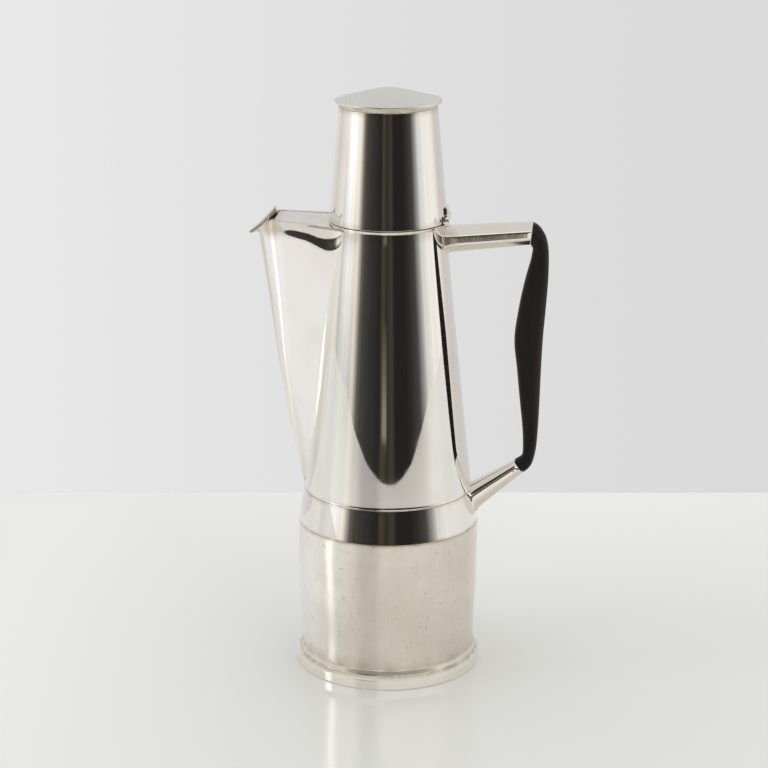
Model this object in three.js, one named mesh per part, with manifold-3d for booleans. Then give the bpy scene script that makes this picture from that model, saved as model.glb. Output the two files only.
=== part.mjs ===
// Silver coffee pot with a wedge spout, a hinged tall lid and a hardwood grip.
// Millimetres, +Z up. The pot stands on Z = 0, spout towards -X, handle towards +X.
import * as THREE from 'three';
import { mergeVertices } from 'three/addons/utils/BufferGeometryUtils.js';
import Module from 'manifold-3d';

const wasm = await Module();
wasm.setup();

// ---- driving dimensions ----
const AXIS_X = -4.9; // pot axis, so that spout tip and grip are equally far out
const SEG = 56; // facets round the pot
const GAP = 0.3; // clearance left at every soldered or sliding seam
const WALL = 1.2; // raised sheet thickness

const FOOT_R = 44.4;
const FOOT_BAND = 4.6;
const FOOT_H = 9.0;
const FOOT_LEDGE_R = 39.4;
const DRUM_Z0 = 2.9;
const DRUM_Z1 = 71.9;
const BAND_Z1 = 88.3;
const DRUM_TOP_R = 43.1;
const BAND_TOP_R = 40.2;
const NECK_Z = 216.6;
const RIM_TOP_Z = 217.8;
const RIM_R = 27.5;

const DRUM_PROFILE = [[41.7, DRUM_Z0], [41.75, 20], [42.7, 38], [43.1, 56], [DRUM_TOP_R, DRUM_Z1]];
const BAND_PROFILE = [[DRUM_TOP_R, DRUM_Z1 + GAP], [BAND_TOP_R, BAND_Z1]];
const CONE_PROFILE = [
  [39.95, BAND_Z1 + GAP], [38.05, 106], [36.3, 123], [33.2, 152.6],
  [30.6, 178], [28.5, 199.5], [27.55, 210], [27.1, NECK_Z - GAP],
];

const LID_Z0 = 218.2;
const LID_Z1 = 271.3;
const LID_R0 = 27.6;
const LID_R1 = 22.9;
const LID_DISC_R = 24.9;
const LID_RIM_Z = 274.4;
const LID_APEX_Z = 280;

const SPOUT_APEX_Z = 86.7;
const SPOUT_TOP_Z = 219.5;
const SPOUT_HALF_BODY = 20.5; // half width where the walls meet the neck
const SPOUT_HALF_NOSE = 13.3; // half width where the nose starts to round
const SPOUT_NOSE_RUN = 13.0; // length of the rounded nose
const SPOUT_WALL = 1.1;
const SPOUT_NOSE = [
  [84, -39.7], [86.7, -40.5], [92, -41.8], [107, -44.6], [122, -47.6], [137, -50.1],
  [152, -52.6], [181, -56.4], [200.5, -59.3], [208, -60.4], [219.5, -62.2], [226, -63.2],
];
const SPOUT_RIM_BODY_Z = 216.9;
const SPOUT_MOUTH_X = -52.6;
const COVER_FRONT_X = -51.5;
const LIP_BACK = [-52, 214.2];
const LIP_EAR = [-54.6, 13.3, 221.2];
const LIP_TIP = [-65.2, 211.4];
const LIP_T = 1.3;

const ARM_WALL = 0.9;
const ARM_FLAT = 0.27; // half width of the eight flats of an arm, as a share of its radius
const ARM_FLARE = 0.9; // how much the root of an arm widens against the body
const UPPER_ARM = { from: [24, 209.25], to: [66.7, 212.9], r0: 6.3, r1: 5.25, root: 3.5 };
const LOWER_ARM = { from: [33.5, 78.6], to: [62.6, 99.3], r0: 7.15, r1: 3.8, root: 7 };
const TENON = 9;
const PIN_R = 1.0;
const PIN_HOLE_R = 1.3;
const PIN_BACK = 3.0; // pin axis behind the socket end
// outer point, inner point (x, z) and half thickness of the grip, top joint to bottom joint
const GRIP = [
  [67.5, 218.1, 66.3, 207.7, 5.2], [69.9, 216.7, 67.1, 206.6, 5.3], [72.2, 213.9, 67.4, 205.3, 5.3],
  [74.0, 209.9, 67.1, 203.4, 5.3], [75.0, 202.8, 66.5, 200.0, 5.3], [74.9, 190, 63.9, 190, 5.7],
  [74.0, 176, 61.3, 176.5, 6.1], [73.0, 162, 59.6, 162, 6.3], [72.4, 147, 61.1, 147, 6.0],
  [72.0, 132, 62.6, 132.5, 5.4], [71.5, 118, 64.1, 118.5, 4.8], [70.7, 108, 64.5, 108.5, 4.3],
  [69.2, 101.5, 64.1, 105.0, 4.0], [67.4, 98.5, 62.7, 103.6, 3.9], [65.2, 96.6, 60.9, 102.6, 3.8],
];

const HINGE_X = 27.5;
const HINGE_Z = 219.6;
const KNUCKLE_R = 1.5;
const KNUCKLE_HALF = 9.6;
const KNUCKLE_MID = 3.2;
const HINGE_PIN_R = 0.6;
const HINGE_LEAF_T = 0.8;

const SILVER = { color: '#d9d6cf', roughness: 0.12, metalness: 1.0 };
const DULL_SILVER = { color: '#b9b5ac', roughness: 0.35, metalness: 1.0 };
const EBONY = { color: '#17120f', roughness: 0.42, metalness: 0.0 };

// ---- solids ----
const toSolid = (geometry) => {
  const plain = geometry.index ? geometry.clone() : mergeVertices(geometry.clone());
  plain.deleteAttribute('normal');
  plain.deleteAttribute('uv');
  const merged = mergeVertices(plain, 1e-4);
  const tris = orientOutward(merged.attributes.position.array, merged.index.array);
  return new wasm.Manifold(new wasm.Mesh({
    numProp: 3,
    vertProperties: new Float32Array(merged.attributes.position.array),
    triVerts: tris,
  }));
};

const orientOutward = (points, index) => {
  const kept = [];
  for (let i = 0; i < index.length; i += 3) {
    const [a, b, c] = [index[i], index[i + 1], index[i + 2]];
    if (a !== b && b !== c && a !== c) kept.push(a, b, c);
  }
  const at = (i) => new THREE.Vector3(points[3 * i], points[3 * i + 1], points[3 * i + 2]);
  let volume = 0;
  for (let i = 0; i < kept.length; i += 3) {
    volume += at(kept[i]).dot(at(kept[i + 1]).cross(at(kept[i + 2])));
  }
  const tris = new Uint32Array(kept);
  if (volume > 0) return tris;
  for (let i = 0; i < tris.length; i += 3) [tris[i + 1], tris[i + 2]] = [tris[i + 2], tris[i + 1]];
  return tris;
};

const toGeometry = (solid) => {
  const mesh = solid.getMesh();
  const geometry = new THREE.BufferGeometry();
  geometry.setAttribute('position', new THREE.BufferAttribute(new Float32Array(mesh.vertProperties), 3));
  geometry.setIndex(new THREE.BufferAttribute(new Uint32Array(mesh.triVerts), 1));
  geometry.computeVertexNormals();
  return geometry;
};

// turns an (r, z) outline round the pot axis; the outline is closed or ends on the axis
const turned = (outline, segments = SEG) => {
  const points = outline.map(([r, z]) => new THREE.Vector2(r, z));
  return toSolid(new THREE.LatheGeometry(points, segments).rotateX(Math.PI / 2));
};

// sheet of constant thickness that follows an outer (r, z) profile
const turnedSheet = (profile, wall) => {
  const inner = profile.map(([r, z]) => [r - wall, z]).reverse();
  return turned([...profile, ...inner, profile[0]]);
};

const turnedBar = (profile) => {
  const low = profile[0][1];
  const high = profile[profile.length - 1][1];
  return turned([[0, low], ...profile, [0, high]]);
};

// joins rings of equal length into a closed solid with a fan at each end
const loft = (rings) => {
  const count = rings[0].length;
  const points = [];
  rings.forEach((ring) => ring.forEach((p) => points.push(p.x, p.y, p.z)));
  const centres = [rings[0], rings[rings.length - 1]].map((ring) => {
    const c = new THREE.Vector3();
    ring.forEach((p) => c.add(p));
    return c.divideScalar(count);
  });
  centres.forEach((c) => points.push(c.x, c.y, c.z));
  const first = rings.length * count;
  const index = [];
  for (let k = 0; k < count; k += 1) {
    const n = (k + 1) % count;
    index.push(first, n, k);
    index.push(first + 1, (rings.length - 1) * count + k, (rings.length - 1) * count + n);
    for (let r = 0; r < rings.length - 1; r += 1) {
      const [a, b] = [r * count + k, r * count + n];
      index.push(a, b, b + count, a, b + count, a + count);
    }
  }
  const geometry = new THREE.BufferGeometry();
  geometry.setAttribute('position', new THREE.Float32BufferAttribute(points, 3));
  geometry.setIndex(index);
  return toSolid(geometry);
};

// prism with an XZ outline, centred on the plane of the spout and handle
const prismXZ = (outline, width) => {
  const shape = new THREE.Shape(outline.map(([x, z]) => new THREE.Vector2(x, z)));
  const geometry = new THREE.ExtrudeGeometry(shape, { depth: width, bevelEnabled: false });
  return toSolid(geometry.rotateX(Math.PI / 2).translate(0, width / 2, 0));
};

const bar = (x, y, z, width, depth, height) =>
  toSolid(new THREE.BoxGeometry(width, depth, height).translate(x, y, z));

// round bar along Y
const crossBar = (x, z, radius, y0, y1, segments = 20) =>
  toSolid(new THREE.CylinderGeometry(radius, radius, y1 - y0, segments).translate(0, (y0 + y1) / 2, 0)
    .translate(x, 0, z));

const lerp = (a, b, t) => a + (b - a) * t;

const along = (table, z) => {
  for (let i = 1; i < table.length; i += 1) {
    const [z0, x0] = table[i - 1];
    const [z1, x1] = table[i];
    if (z <= z1) return lerp(x0, x1, (z - z0) / (z1 - z0));
  }
  return table[table.length - 1][1];
};

const bodyRadius = (z) => along([...BAND_PROFILE, ...CONE_PROFILE].map(([r, h]) => [h, r]), z);

// ---- pot body ----
const footRing = () => turned([
  [FOOT_LEDGE_R, 0], [FOOT_R - 0.4, 0], [FOOT_R, 0.5], [FOOT_R, FOOT_BAND], [FOOT_R - 0.5, FOOT_BAND + 0.5],
  [43.1, 6.2], [42.5, 7.5], [42.4, FOOT_H], [42.0, FOOT_H], [42.0, DRUM_Z0 - GAP],
  [FOOT_LEDGE_R, DRUM_Z0 - GAP], [FOOT_LEDGE_R, 0],
]);

const baseDisc = () => turned([[0, 4.6], [36, 4.0], [40.2, 4.0], [40.2, 5.2], [36, 5.2], [0, 5.8]]);

const drum = () => turnedSheet(DRUM_PROFILE, WALL);

const shoulderBand = () => turnedSheet(BAND_PROFILE, WALL);

// the opening through the cone into the spout, narrow at the bottom
const spoutWindow = () => {
  const ring = (z, half) => [
    new THREE.Vector3(-60, -half, z), new THREE.Vector3(-60, half, z),
    new THREE.Vector3(-12, half, z), new THREE.Vector3(-12, -half, z),
  ];
  return loft([ring(124, 2.6), ring(204, 11.5)]);
};

const coneBody = () => turnedSheet(CONE_PROFILE, WALL).subtract(spoutWindow());

const neckRim = () => turned([
  [25.9, NECK_Z], [RIM_R - 0.4, NECK_Z], [RIM_R, NECK_Z + 0.4], [RIM_R, RIM_TOP_Z - 0.4],
  [RIM_R - 0.4, RIM_TOP_Z], [25.9, RIM_TOP_Z], [25.9, NECK_Z],
]);

// curved pierced plate inside the cone, behind the window
const strainerPlate = () => {
  const inset = WALL + GAP;
  const profile = CONE_PROFILE.slice(1, 7).map(([r, z]) => [r - inset, z]);
  const plate = turnedSheet(profile, 0.8);
  const half = (z) => lerp(5, 14, (z - 112) / 96);
  const ring = (z) => [
    new THREE.Vector3(-60, -half(z), z), new THREE.Vector3(-60, half(z), z),
    new THREE.Vector3(0, half(z), z), new THREE.Vector3(0, -half(z), z),
  ];
  let patch = plate.intersect(loft([ring(114), ring(208)]));
  for (let row = 0; row < 8; row += 1) {
    const z = 130 + 9.5 * row;
    const count = 1 + Math.floor(row / 2);
    for (let k = 0; k < count; k += 1) {
      const y = (k - (count - 1) / 2) * 5.2;
      const hole = new THREE.CylinderGeometry(1.5, 1.5, 50, 10).rotateZ(Math.PI / 2).translate(-35, y, z);
      patch = patch.subtract(toSolid(hole));
    }
  }
  return patch;
};

// ---- spout ----
// horizontal section of the wedge; inset makes the inner face
const spoutSection = (z, inset) => {
  const t = Math.max(0.02, (z - SPOUT_APEX_Z) / (SPOUT_TOP_Z - SPOUT_APEX_Z));
  const nose = along(SPOUT_NOSE, z) + inset;
  const run = SPOUT_NOSE_RUN * t;
  const halfNose = SPOUT_HALF_NOSE * t - inset;
  const halfBody = SPOUT_HALF_BODY * t - inset;
  const bodyX = -Math.sqrt(bodyRadius(z) ** 2 - halfBody ** 2);
  const slope = (halfBody - halfNose) / (bodyX - nose - run);
  const backX = bodyX + 9 * t;
  const curve = new THREE.CubicBezierCurve(
    new THREE.Vector2(nose + run, halfNose),
    new THREE.Vector2(nose + run * 0.55, halfNose - slope * run * 0.45),
    new THREE.Vector2(nose, halfNose * 0.36),
    new THREE.Vector2(nose, 0),
  );
  const side = [new THREE.Vector2(backX, halfBody + slope * 9 * t), ...curve.getPoints(6)];
  const ring = side.map((p) => new THREE.Vector3(p.x, p.y, z));
  const mirrored = side.slice(0, -1).reverse().map((p) => new THREE.Vector3(p.x, -p.y, z));
  return [...ring, ...mirrored];
};

const spoutHeights = (start) => [
  start, ...[92, 99, 107, 116, 126, 138, 152, 166, 181, 192, 200.5, 208, 219.5, 226].filter((z) => z > start + 1),
];

const spoutVolume = (inset, start) => loft(spoutHeights(start).map((z) => spoutSection(z, inset)));

const bodyCutter = () => turnedBar([
  ...[...DRUM_PROFILE.slice(-1), ...BAND_PROFILE, ...CONE_PROFILE].map(([r, z]) => [r + GAP, z]),
  [RIM_R + GAP, NECK_Z - GAP - 0.05], [RIM_R + GAP, 240],
]);

// everything above the sloping rim, ahead of the neck
const aboveRim = (drop) => prismXZ([
  [10, SPOUT_RIM_BODY_Z - drop], [-18, SPOUT_RIM_BODY_Z - drop], [SPOUT_MOUTH_X, SPOUT_TOP_Z - drop],
  [-80, SPOUT_TOP_Z + 2 - drop], [-80, 260], [10, 260],
], 80);

// V trough between two offsets of the lip surface; plan is back, side and tip
const lipSurface = (x, y) => {
  const fall = (LIP_BACK[1] - LIP_TIP[1]) / (LIP_BACK[0] - LIP_TIP[0]);
  const floor = (at) => LIP_BACK[1] + fall * (at - LIP_BACK[0]);
  return floor(x) + ((LIP_EAR[2] - floor(LIP_EAR[0])) / LIP_EAR[1]) * Math.abs(y);
};

const vTrough = (back, side, tip, low, high) => {
  const plan = [[back, 0], [side[0], side[1]], [tip, 0], [side[0], -side[1]]];
  const points = [];
  [high, low].forEach((offset) => plan.forEach(([x, y]) => points.push(x, y, lipSurface(x, y) + offset)));
  const index = [0, 1, 2, 0, 2, 3, 4, 6, 5, 4, 7, 6];
  for (let k = 0; k < 4; k += 1) {
    const n = (k + 1) % 4;
    index.push(k, k + 4, n + 4, k, n + 4, n);
  }
  const geometry = new THREE.BufferGeometry();
  geometry.setAttribute('position', new THREE.Float32BufferAttribute(points, 3));
  geometry.setIndex(index);
  return toSolid(geometry);
};

const lipCutter = () => vTrough(SPOUT_MOUTH_X, [SPOUT_MOUTH_X, 18], -76, -LIP_T - GAP, 40);

const spoutShell = () => spoutVolume(0, 84)
  .subtract(spoutVolume(SPOUT_WALL, 116))
  .subtract(bodyCutter())
  .subtract(aboveRim(0))
  .subtract(lipCutter());

const spoutCover = () => spoutVolume(SPOUT_WALL + GAP, 150)
  .intersect(bar((COVER_FRONT_X - 10) / 2, 0, 210, Math.abs(COVER_FRONT_X + 10), 60, 40))
  .subtract(bodyCutter())
  .subtract(aboveRim(0.6))
  .intersect(aboveRim(1.6));

const pouringLip = () => vTrough(LIP_BACK[0], LIP_EAR, LIP_TIP[0], -LIP_T, 0)
  .subtract(spoutVolume(SPOUT_WALL, 150));

// ---- handle ----
const armFrame = (arm) => {
  const start = new THREE.Vector3(arm.from[0], 0, arm.from[1]);
  const end = new THREE.Vector3(arm.to[0], 0, arm.to[1]);
  const direction = end.clone().sub(start).normalize();
  return { start, end, direction, length: start.distanceTo(end) };
};

// softened octagon square to the arm, or leaning so that it ends on the joint plane of the grip
const armRing = (centre, radius, direction, lean = 0) => {
  const up = new THREE.Vector3(-direction.z, 0, direction.x);
  const ring = [];
  for (let k = 0; k < 16; k += 1) {
    const facing = (Math.PI / 4) * Math.floor(k / 2);
    const aside = k % 2 ? ARM_FLAT : -ARM_FLAT;
    const y = radius * (Math.cos(facing) - aside * Math.sin(facing));
    const rise = radius * (Math.sin(facing) + aside * Math.cos(facing));
    const p = centre.clone().addScaledVector(up, rise).addScaledVector(direction, rise * lean);
    p.y = y;
    ring.push(p);
  }
  return ring;
};

const jointLean = (section, direction) => {
  const across = new THREE.Vector3(section[0] - section[2], 0, section[1] - section[3]);
  const up = new THREE.Vector3(-direction.z, 0, direction.x);
  return across.dot(direction) / across.dot(up);
};

// the root ring sits on the body at `arm.root` along the arm, with its flare ahead of it
const armSolid = (arm, section, shrink, overrun) => {
  const { start, end, direction, length } = armFrame(arm);
  const at = (distance) => start.clone().addScaledVector(direction, distance);
  const radius = (distance) => lerp(arm.r0, arm.r1, distance / length) - shrink;
  const far = end.clone().addScaledVector(direction, overrun);
  return loft([
    armRing(start, arm.r0 - shrink + ARM_FLARE, direction),
    armRing(at(arm.root), radius(arm.root) + ARM_FLARE, direction),
    armRing(at(arm.root + 1.2), radius(arm.root + 1.2) + ARM_FLARE * 0.3, direction),
    armRing(at(arm.root + 2.8), radius(arm.root + 2.8), direction),
    armRing(far, arm.r1 - shrink, direction, jointLean(section, direction)),
  ]);
};

const pinPoint = (arm) => {
  const { end, direction } = armFrame(arm);
  return end.clone().addScaledVector(direction, -PIN_BACK);
};

const socket = (arm, section) => {
  const pin = pinPoint(arm);
  return armSolid(arm, section, 0, -GAP)
    .subtract(armSolid(arm, section, ARM_WALL, 5))
    .subtract(bodyCutter())
    .subtract(crossBar(pin.x, pin.z, PIN_HOLE_R, -10, 10));
};

const gripPin = (arm) => {
  const pin = pinPoint(arm);
  const { length } = armFrame(arm);
  const reach = lerp(arm.r1, arm.r0, PIN_BACK / length);
  return crossBar(pin.x, pin.z, PIN_R, -reach, reach, 16);
};

const tenon = (arm) => {
  const { end, direction, length } = armFrame(arm);
  const tip = end.clone().addScaledVector(direction, -TENON);
  const root = end.clone().addScaledVector(direction, 2.5);
  const inner = ARM_WALL + GAP;
  const rTip = lerp(arm.r1, arm.r0, TENON / length) - inner;
  return loft([armRing(tip, rTip, direction), armRing(root, arm.r1 - inner - 0.1, direction)]);
};

const gripRing = ([ox, oz, ix, iz, half]) => {
  const centre = new THREE.Vector3((ox + ix) / 2, 0, (oz + iz) / 2);
  const reach = new THREE.Vector3((ox - ix) / 2, 0, (oz - iz) / 2);
  const ring = [];
  for (let k = 0; k < 20; k += 1) {
    const a = (2 * Math.PI * k) / 20;
    const p = centre.clone().addScaledVector(reach, Math.sin(a));
    p.y = half * Math.cos(a);
    ring.push(p);
  }
  return ring;
};

const handleGrip = () => {
  let grip = loft(GRIP.map(gripRing)).add(tenon(UPPER_ARM)).add(tenon(LOWER_ARM));
  [UPPER_ARM, LOWER_ARM].forEach((arm) => {
    const pin = pinPoint(arm);
    grip = grip.subtract(crossBar(pin.x, pin.z, PIN_HOLE_R, -12, 12));
  });
  return grip;
};

// ---- hinge ----
const knuckle = (y0, y1) => crossBar(HINGE_X, HINGE_Z, KNUCKLE_R, y0, y1);
const pinBore = () => crossBar(HINGE_X, HINGE_Z, HINGE_PIN_R + GAP, -20, 20);

// curved leaf plate that follows the outside of the neck or the lid
const leafPlate = (inner, z0, z1, y0, y1) => {
  const sheet = turnedSheet([[inner(z0) + HINGE_LEAF_T, z0], [inner(z1) + HINGE_LEAF_T, z1]], HINGE_LEAF_T);
  return sheet.intersect(bar(30, (y0 + y1) / 2, (z0 + z1) / 2, 30, y1 - y0, z1 - z0 + 2));
};

const hingeLeafBody = () => {
  const edge = KNUCKLE_MID + GAP;
  const side = (y0, y1) => leafPlate(() => RIM_R + GAP, NECK_Z + 0.6, HINGE_Z - 0.3, y0, y1)
    .add(knuckle(y0 - 0.1, y1 + 0.1));
  const web = leafPlate(() => RIM_R + GAP, NECK_Z + 0.6, HINGE_Z - KNUCKLE_R - 0.1, -edge - 0.5, edge + 0.5);
  return side(-KNUCKLE_HALF + 0.1, -edge - 0.1).add(side(edge + 0.1, KNUCKLE_HALF - 0.1)).add(web)
    .subtract(pinBore());
};

const lidOuter = (z) => lerp(LID_R0, LID_R1, (z - LID_Z0) / (LID_Z1 - LID_Z0));

const hingeLeafLid = () => {
  const foot = HINGE_Z + KNUCKLE_R + GAP;
  const plate = leafPlate((z) => lidOuter(z) + GAP, foot, HINGE_Z + 5.4, -5, 5);
  const neck = leafPlate(() => lidOuter(foot) + GAP, HINGE_Z, foot + 0.6, -KNUCKLE_MID, KNUCKLE_MID);
  return plate.add(neck).add(knuckle(-KNUCKLE_MID, KNUCKLE_MID)).subtract(pinBore());
};

const hingePin = () => crossBar(HINGE_X, HINGE_Z, HINGE_PIN_R, -KNUCKLE_HALF - 0.4, KNUCKLE_HALF + 0.4, 12);

// ---- lid ----
// the lower edge is notched for the hinge barrel
const hingeNotch = () => {
  const reach = KNUCKLE_R + GAP;
  return bar(HINGE_X - reach + 5, 0, HINGE_Z + reach - 5, 10, 2 * (KNUCKLE_HALF + GAP), 10);
};

const lidWall = () => turned([
  [LID_R0, LID_Z0], [LID_R1, LID_Z1], [LID_R1 - WALL, LID_Z1], [LID_R0 - WALL, LID_Z0], [LID_R0, LID_Z0],
]).subtract(hingeNotch());

const lidTop = () => turned([
  [0, LID_APEX_Z - 1.1], [LID_DISC_R - 3, LID_RIM_Z - 0.5], [LID_R1 - WALL, LID_Z1 + GAP],
  [LID_R1 + 0.1, LID_Z1 + GAP], [LID_R1 + 0.5, LID_Z1 + 1.2], [LID_DISC_R - 0.4, LID_RIM_Z - 1.0],
  [LID_DISC_R, LID_RIM_Z - 0.7], [LID_DISC_R, LID_RIM_Z], [LID_DISC_R - 0.5, LID_RIM_Z + 0.15],
  [18, 276.1], [11, 278], [5, 279.4], [0, LID_APEX_Z],
]);

const lidBezel = () => turned([
  [24.6, 213.6], [25.3, LID_Z0], [25.65, LID_Z0 + GAP], [25.35, 222.5], [24.4, 222.5],
  [24.4, LID_Z0], [23.8, 213.6], [24.6, 213.6],
]);

// ---- assembly ----
const part = (name, solid, look) => {
  const mesh = new THREE.Mesh(toGeometry(solid), new THREE.MeshStandardMaterial(look));
  mesh.name = name;
  return mesh;
};

const pot = new THREE.Group();
pot.name = 'pot_fixed';
pot.add(
  part('foot_ring', footRing(), SILVER),
  part('base_disc', baseDisc(), DULL_SILVER),
  part('drum', drum(), SILVER),
  part('shoulder_band', shoulderBand(), SILVER),
  part('cone_body', coneBody(), SILVER),
  part('neck_rim', neckRim(), SILVER),
  part('strainer_plate', strainerPlate(), DULL_SILVER),
  part('spout_shell', spoutShell(), SILVER),
  part('spout_cover', spoutCover(), SILVER),
  part('pouring_lip', pouringLip(), SILVER),
  part('upper_socket', socket(UPPER_ARM, GRIP[0]), SILVER),
  part('lower_socket', socket(LOWER_ARM, GRIP[GRIP.length - 1]), SILVER),
  part('handle_grip', handleGrip(), EBONY),
  part('upper_grip_pin', gripPin(UPPER_ARM), DULL_SILVER),
  part('lower_grip_pin', gripPin(LOWER_ARM), DULL_SILVER),
  part('hinge_leaf_body', hingeLeafBody(), SILVER),
  part('hinge_pin', hingePin(), DULL_SILVER),
);

const lid = new THREE.Group();
lid.name = 'lid_moving';
lid.add(
  part('lid_wall', lidWall(), SILVER),
  part('lid_top', lidTop(), SILVER),
  part('lid_bezel', lidBezel(), DULL_SILVER),
  part('hinge_leaf_lid', hingeLeafLid(), SILVER),
);

const group = new THREE.Group();
group.name = 'coffee_pot';
group.add(pot, lid);
group.position.x = AXIS_X;

export default group;
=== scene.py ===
"""Looks of the silver coffee pot: smooth polished pieces, a dark wood grip, table, light and camera."""

import math

import bmesh
import bpy
import numpy as np
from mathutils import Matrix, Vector


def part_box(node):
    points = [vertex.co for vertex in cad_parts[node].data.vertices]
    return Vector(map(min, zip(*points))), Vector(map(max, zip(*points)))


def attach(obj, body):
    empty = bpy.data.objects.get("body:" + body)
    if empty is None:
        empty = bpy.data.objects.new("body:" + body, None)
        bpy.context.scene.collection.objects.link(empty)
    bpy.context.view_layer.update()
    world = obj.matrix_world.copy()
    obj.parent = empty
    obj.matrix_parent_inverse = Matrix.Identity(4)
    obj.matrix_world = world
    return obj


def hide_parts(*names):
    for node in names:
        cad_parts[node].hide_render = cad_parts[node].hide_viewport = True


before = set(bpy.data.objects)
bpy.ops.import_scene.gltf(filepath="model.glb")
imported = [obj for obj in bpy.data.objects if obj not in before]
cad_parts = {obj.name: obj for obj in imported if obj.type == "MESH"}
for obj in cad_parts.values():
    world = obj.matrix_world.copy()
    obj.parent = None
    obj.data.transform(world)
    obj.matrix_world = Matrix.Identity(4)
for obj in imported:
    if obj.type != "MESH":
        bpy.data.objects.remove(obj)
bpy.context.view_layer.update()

MM = 0.001
ROUND = 192  # facets round the pot


def middle(node):
    low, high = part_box(node)
    return (low + high) / 2


AXIS_X = middle("drum").x
HINGE = Vector((middle("hinge_pin").x, 0.0, middle("hinge_pin").z))

# ---- sizes of the pot, in millimetres, measured from its own axis ----
FOOT_R = 44.4
FOOT_BAND = 4.6
FOOT_BORE_R = 39.4
FOOT_OUTLINE = [  # an outline holds (radius, z, rounding of the corner)
    (FOOT_BORE_R, 0, 0.3), (FOOT_R, 0, 0.5), (FOOT_R, FOOT_BAND, 0.45), (FOOT_R - 0.7, FOOT_BAND + 0.7, 0.3),
    (43.25, 5.65, 0.5), (42.45, 6.7, 0.9), (42.1, 8.7, 0.1), (41.6, 9.2, 0.1), (41.6, 2.7, 0.1),
    (FOOT_BORE_R, 2.7, 0.3),
]
DRUM_TOP = (43.1, 72.0)
BAND_TOP = (40.2, 88.4)
NECK_TOP = (27.1, 216.6)
RIM_R = 27.5
RIM_TOP = 217.8
RIM_OUTLINE = [(25.9, 216.4, 0.2), (RIM_R - 0.2, 216.65, 0.3), (RIM_R, RIM_TOP, 0.35), (25.9, RIM_TOP, 0.3)]
WALL = 1.2
DRUM_PROFILE = [(41.7, 3.0), (41.75, 20), (42.7, 38), (43.1, 56), DRUM_TOP]
CONE_FILLET = [(40.12, 88.45), (39.98, 88.75), (39.89, 89.2)]
CONE_PROFILE = [
    (39.82, 89.8), (38.08, 106), (36.29, 123), (33.235, 152.6), (30.68, 178), (28.57, 199.5),
    (27.6, 210), NECK_TOP,
]
WINDOW_LOW = 124.0  # the opening from the cone into the spout: heights and half widths
WINDOW_HIGH = 204.0
WINDOW_HALF_LOW = 2.6
WINDOW_HALF_HIGH = 11.5
LID_LOW = (27.6, 218.2)
LID_HIGH = (22.9, 271.4)
LID_DISC_R = 24.9
LID_RIM_Z = 274.4
LID_APEX_Z = 280.0
LID_EDGE_OUTLINE = [
    (LID_HIGH[0] - 1.0, LID_HIGH[1] - 0.1, 0), (LID_HIGH[0] + 0.02, LID_HIGH[1] - 0.1, 0),
    (LID_HIGH[0] + 0.25, 272.3, 0.3), (LID_HIGH[0] + 1.0, 273.1, 0.3), (LID_DISC_R - 0.5, 273.35, 0.2),
    (LID_DISC_R, 273.6, 0.2), (LID_DISC_R, LID_RIM_Z - 0.1, 0.2), (LID_DISC_R - 0.4, LID_RIM_Z + 0.05, 0.15),
]
LID_SLOPE = [(LID_DISC_R - 0.4, LID_RIM_Z + 0.05), (18, 276.05), (11, 277.95), (6, 279.1), (2.6, 279.65)]
BEZEL_OUTLINE = [
    (24.6, 213.6, 0.3), (25.3, 218.2, 0), (25.65, 218.5, 0.1), (25.35, 222.5, 0.2), (24.4, 222.5, 0.2),
    (24.4, 218.2, 0.1), (23.8, 213.6, 0.3),
]

SPOUT_APEX_Z = 86.7
SPOUT_TOP_Z = 219.5
SPOUT_HALF_BODY = 20.5
SPOUT_HALF_NOSE = 13.3
SPOUT_NOSE_RUN = 13.0
SPOUT_WALL = 1.1
SPOUT_NOSE = [
    (84, -39.7), (92, -41.7), (107, -44.6), (122, -47.6), (137, -50.1), (152, -52.6), (181, -56.4),
    (200.5, -59.3), (219.5, -62.2), (226, -63.2),
]
SPOUT_RIM_BODY_X = -18.0
SPOUT_RIM_BODY_Z = 216.9
SPOUT_MOUTH_X = -52.6
SPOUT_START_Z = 85.2  # where the outer and the inner face of the wedge begin
SPOUT_INNER_Z = 116.0
COVER_FRONT_X = -52.2
COVER_BACK_X = -19.0
COVER_HALF_FRONT = 11.2
COVER_HALF_BACK = 19.6
COVER_DROP = 0.2
COVER_THICK = 0.9
LIP_BACK = (-52.0, 214.2)
LIP_EAR = (-54.6, 13.3, 221.2)
LIP_TIP = (-65.2, 211.4)
LIP_THICK = 0.8
LIP_BEAD = 1.1
LIP_FOLD = 0.65  # second ridge, under the sheet
LIP_FOLD_FROM = 5.0  # it ends where the beak is narrower than this
LIP_SAG = 0.5

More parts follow.
